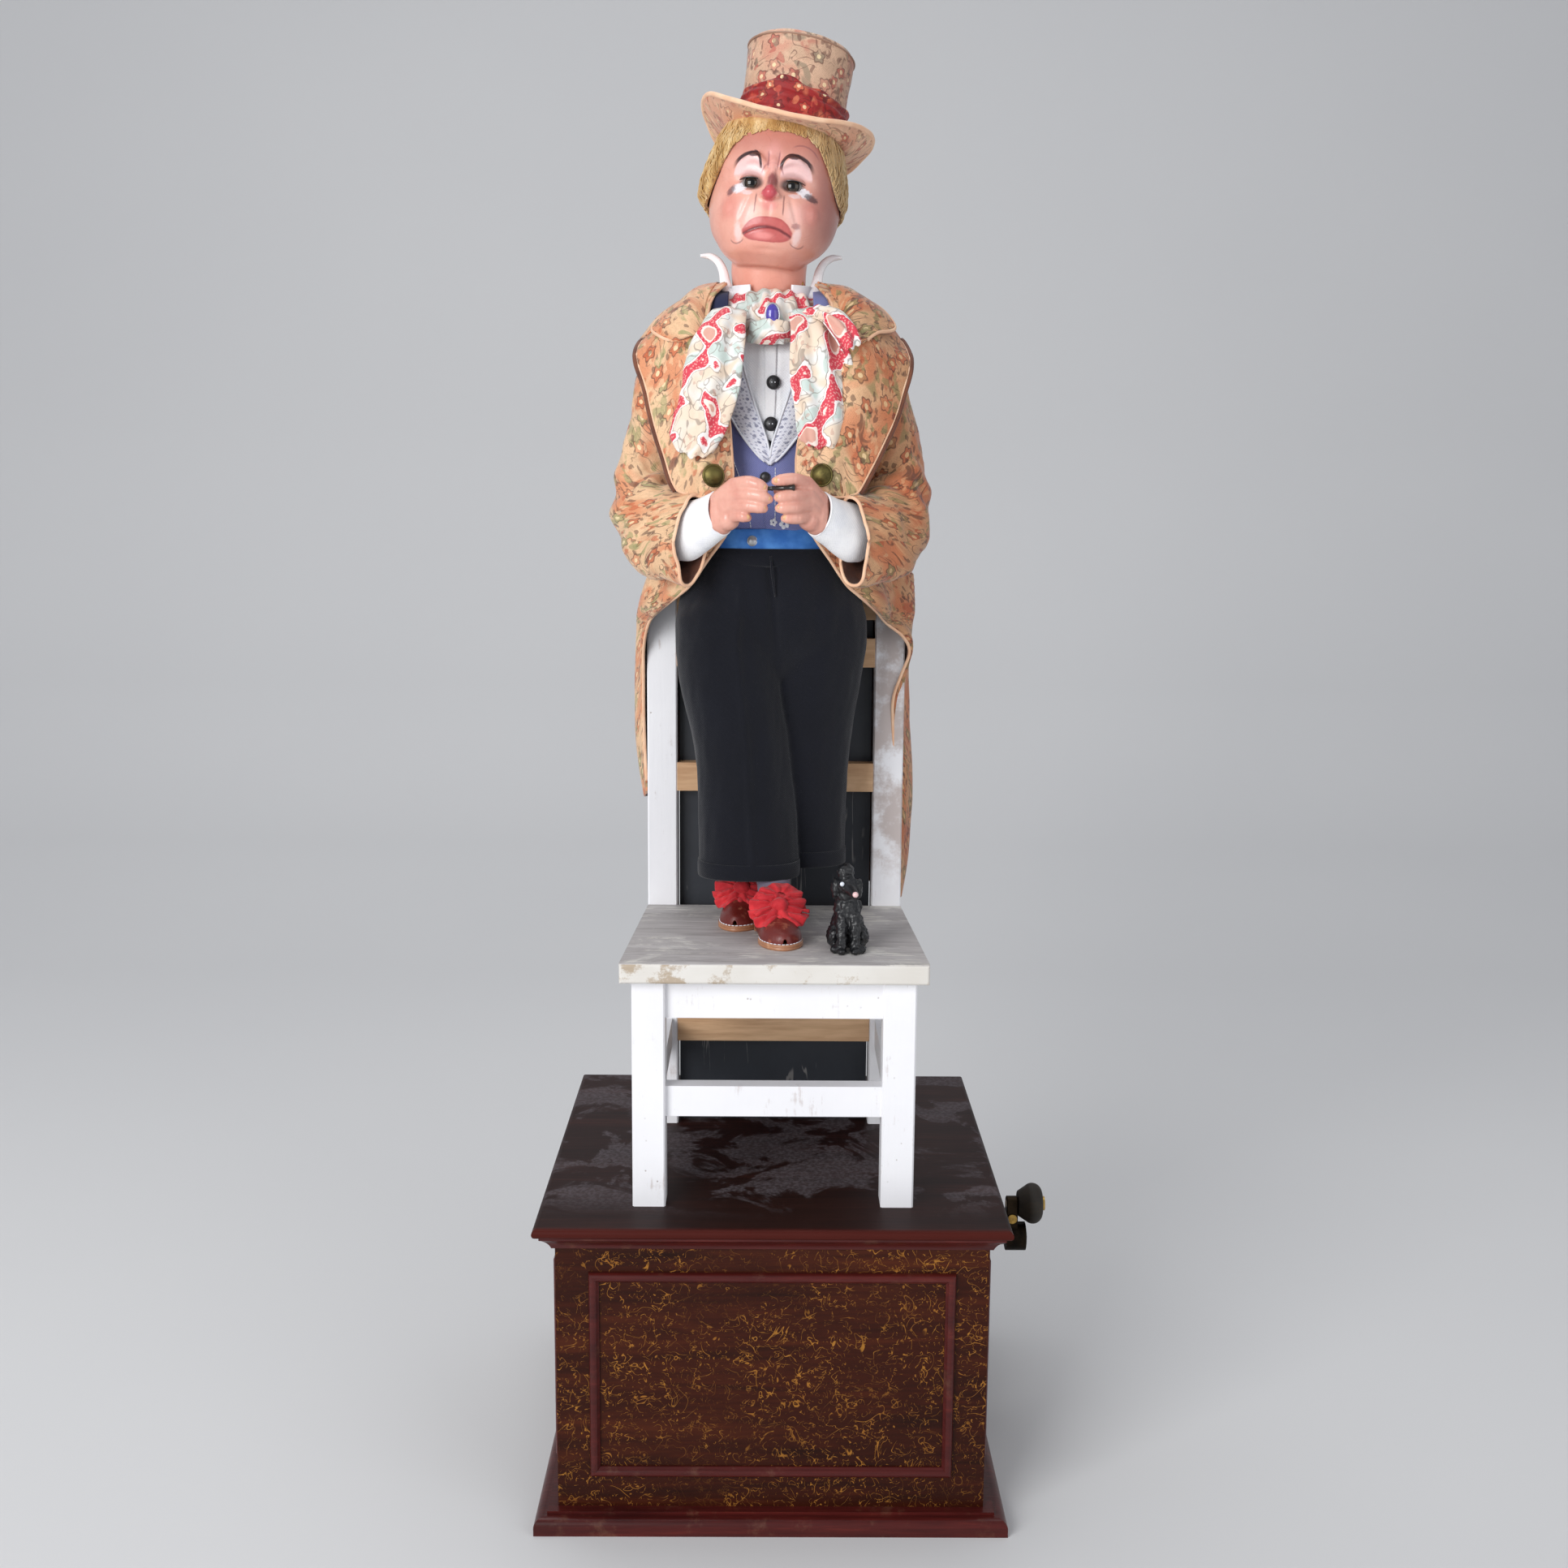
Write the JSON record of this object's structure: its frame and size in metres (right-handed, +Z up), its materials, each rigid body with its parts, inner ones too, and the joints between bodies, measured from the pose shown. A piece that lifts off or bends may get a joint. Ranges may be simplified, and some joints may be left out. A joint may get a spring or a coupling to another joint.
{
  "type": "crank automaton",
  "caption": "Crank automaton: a clown in tail coat and tilted top hat stands on a small chair on a panelled wooden case; a side crank moves head, neck and arms.",
  "frame": {"origin": "centre of the underside of the case, on the surface it stands on", "axes": "+Z up; +X to the crank side, which is on the right as one faces the figure; +Y towards the back of the case"},
  "size_m": [0.3446, 0.303, 0.9471],
  "materials": {
    "case_mahogany": "satin",
    "case_moulding": "satin",
    "lid_dark": "semi-gloss",
    "inner_ply": "matte",
    "chair_paint": "matte, worn",
    "bare_wood": "matte",
    "trunk_paint": "satin",
    "brass": "polished",
    "steel": "brushed",
    "knob_wood": "gloss",
    "carved_wood": "matte",
    "flesh": "gloss",
    "wool": "matte",
    "brocade": "satin",
    "white_linen": "matte",
    "denim_blue": "matte",
    "belt_blue": "satin",
    "neckcloth": "satin",
    "red_silk": "satin",
    "shoe_leather": "gloss",
    "black_resin": "gloss",
    "gem_glass": "gloss",
    "mohair": "matte",
    "dark_horn": "gloss"
  },
  "bodies": {
    "case_and_figure": {"bottom_board": "inner_ply", "front_panel": "case_mahogany", "left_panel": "case_mahogany", "right_panel": "case_mahogany", "back_panel": "case_mahogany", "cabinet_screws": "brass", "lid": "lid_dark", "cornice": "case_moulding", "plinth": "case_moulding", "panel_beads": "case_moulding", "bushes": "brass", "bearing_plates": "inner_ply", "pivot_rods": "steel", "front_legs": "chair_paint", "rear_posts": "chair_paint", "seat": "chair_paint", "chair_rails": "chair_paint", "back_battens": "bare_wood", "rod_trunk": "trunk_paint", "trunk_cover": "trunk_paint", "torso_core": "carved_wood", "leg_cores": "carved_wood", "shoes": "shoe_leather", "rosettes": "red_silk", "trousers": "wool", "belt": "belt_blue", "waistcoat": "denim_blue", "shirt_front": "white_linen", "shirt_buttons": "black_resin", "coat": "brocade", "coat_tails": "brocade", "coat_buttons": "brass", "cravat": "neckcloth", "brooch": "gem_glass", "collar": "white_linen", "dog_figure": "black_resin"},
    "crank": {"crank_shaft": "steel", "crank_arm": "brass", "crank_fasteners": "brass", "pinion": "brass"},
    "knob": {"crank_knob": "knob_wood"},
    "camshaft": {"camshaft": "steel", "cam_wheel": "brass", "cams": "inner_ply"},
    "arms": {"arm_axle": "steel", "sleeves": "brocade", "cuffs": "white_linen", "hands": "flesh", "held_whistle": "dark_horn"},
    "arms_lever": {"arms_lever": "brass"},
    "arms_rod": {"arms_rod": "steel"},
    "nod_lever": {"nod_lever": "brass"},
    "nod_rod": {"nod_rod": "steel"},
    "turn_lever": {"turn_lever": "brass"},
    "turn_rod": {"turn_rod": "steel"},
    "turn_bell_crank": {"turn_bell_crank": "brass"},
    "neck": {"neck_spindle": "brass"},
    "head": {"head": "flesh", "hair": "mohair", "hat": "brocade"}
  },
  "joints": [
    {"name": "crank_turn", "type": "hinge", "parent": "case_and_figure", "child": "crank", "pos_m": [0.166, 0, 0.1375], "axis": [1, 0, 0], "continuous": true},
    {"name": "knob_spin", "type": "hinge", "parent": "crank", "child": "knob", "pos_m": [0.181, 0, 0.162], "axis": [1, 0, 0], "continuous": true},
    {"name": "camshaft_turn", "type": "hinge", "parent": "case_and_figure", "child": "camshaft", "pos_m": [0, 0, 0.09025], "axis": [1, 0, 0], "continuous": true},
    {"name": "arms_raise", "type": "hinge", "parent": "case_and_figure", "child": "arms", "pos_m": [-0.005, 0.014, 0.742], "axis": [-1, 0, 0], "range_deg": [0, 20]},
    {"name": "arms_rod_slide", "type": "slide", "parent": "case_and_figure", "child": "arms_rod", "axis": [0, 0, 1], "range_m": [0, 0.00839]},
    {"name": "arms_lever_tilt", "type": "hinge", "parent": "case_and_figure", "child": "arms_lever", "pos_m": [0.007, -0.062, 0.118], "axis": [1, 0, 0], "range_deg": [0, 3.75]},
    {"name": "head_turn", "type": "hinge", "parent": "case_and_figure", "child": "neck", "pos_m": [-0.005, 0, 0.775], "axis": [0, 0, -1], "range_deg": [-18, 18]},
    {"name": "bell_crank_rock", "type": "hinge", "parent": "case_and_figure", "child": "turn_bell_crank", "pos_m": [-0.005, 0.0195, 0.738], "axis": [0, 1, 0], "range_deg": [-17.57, 17.57]},
    {"name": "turn_rod_slide", "type": "slide", "parent": "case_and_figure", "child": "turn_rod", "axis": [0, 0, 1], "range_m": [-0.00368, 0.00368]},
    {"name": "turn_lever_tilt", "type": "hinge", "parent": "case_and_figure", "child": "turn_lever", "pos_m": [-0.017, -0.062, 0.118], "axis": [1, 0, 0], "range_deg": [-1.65, 1.65]},
    {"name": "head_nod", "type": "hinge", "parent": "neck", "child": "head", "pos_m": [-0.005, -0.01, 0.7915], "axis": [1, 0, 0], "range_deg": [0, 15]},
    {"name": "nod_rod_slide", "type": "slide", "parent": "case_and_figure", "child": "nod_rod", "axis": [0, 0, 1], "range_m": [0, 0.00262]},
    {"name": "nod_lever_tilt", "type": "hinge", "parent": "case_and_figure", "child": "nod_lever", "pos_m": [-0.005, -0.062, 0.118], "axis": [1, 0, 0], "range_deg": [0, 1.17]}
  ],
  "couplings": [
    {"joint": "camshaft_turn", "follows": "crank_turn", "ratio": -0.4},
    {"joint": "arms_rod_slide", "follows": "arms_raise", "m_per_rad": 0.024},
    {"joint": "arms_lever_tilt", "follows": "arms_raise", "ratio": 0.1875},
    {"joint": "bell_crank_rock", "follows": "head_turn", "ratio": 0.975},
    {"joint": "turn_rod_slide", "follows": "head_turn", "m_per_rad": 0.0117},
    {"joint": "turn_lever_tilt", "follows": "head_turn", "ratio": 0.091406},
    {"joint": "nod_rod_slide", "follows": "head_nod", "m_per_rad": 0.01},
    {"joint": "nod_lever_tilt", "follows": "head_nod", "ratio": 0.078125}
  ]
}
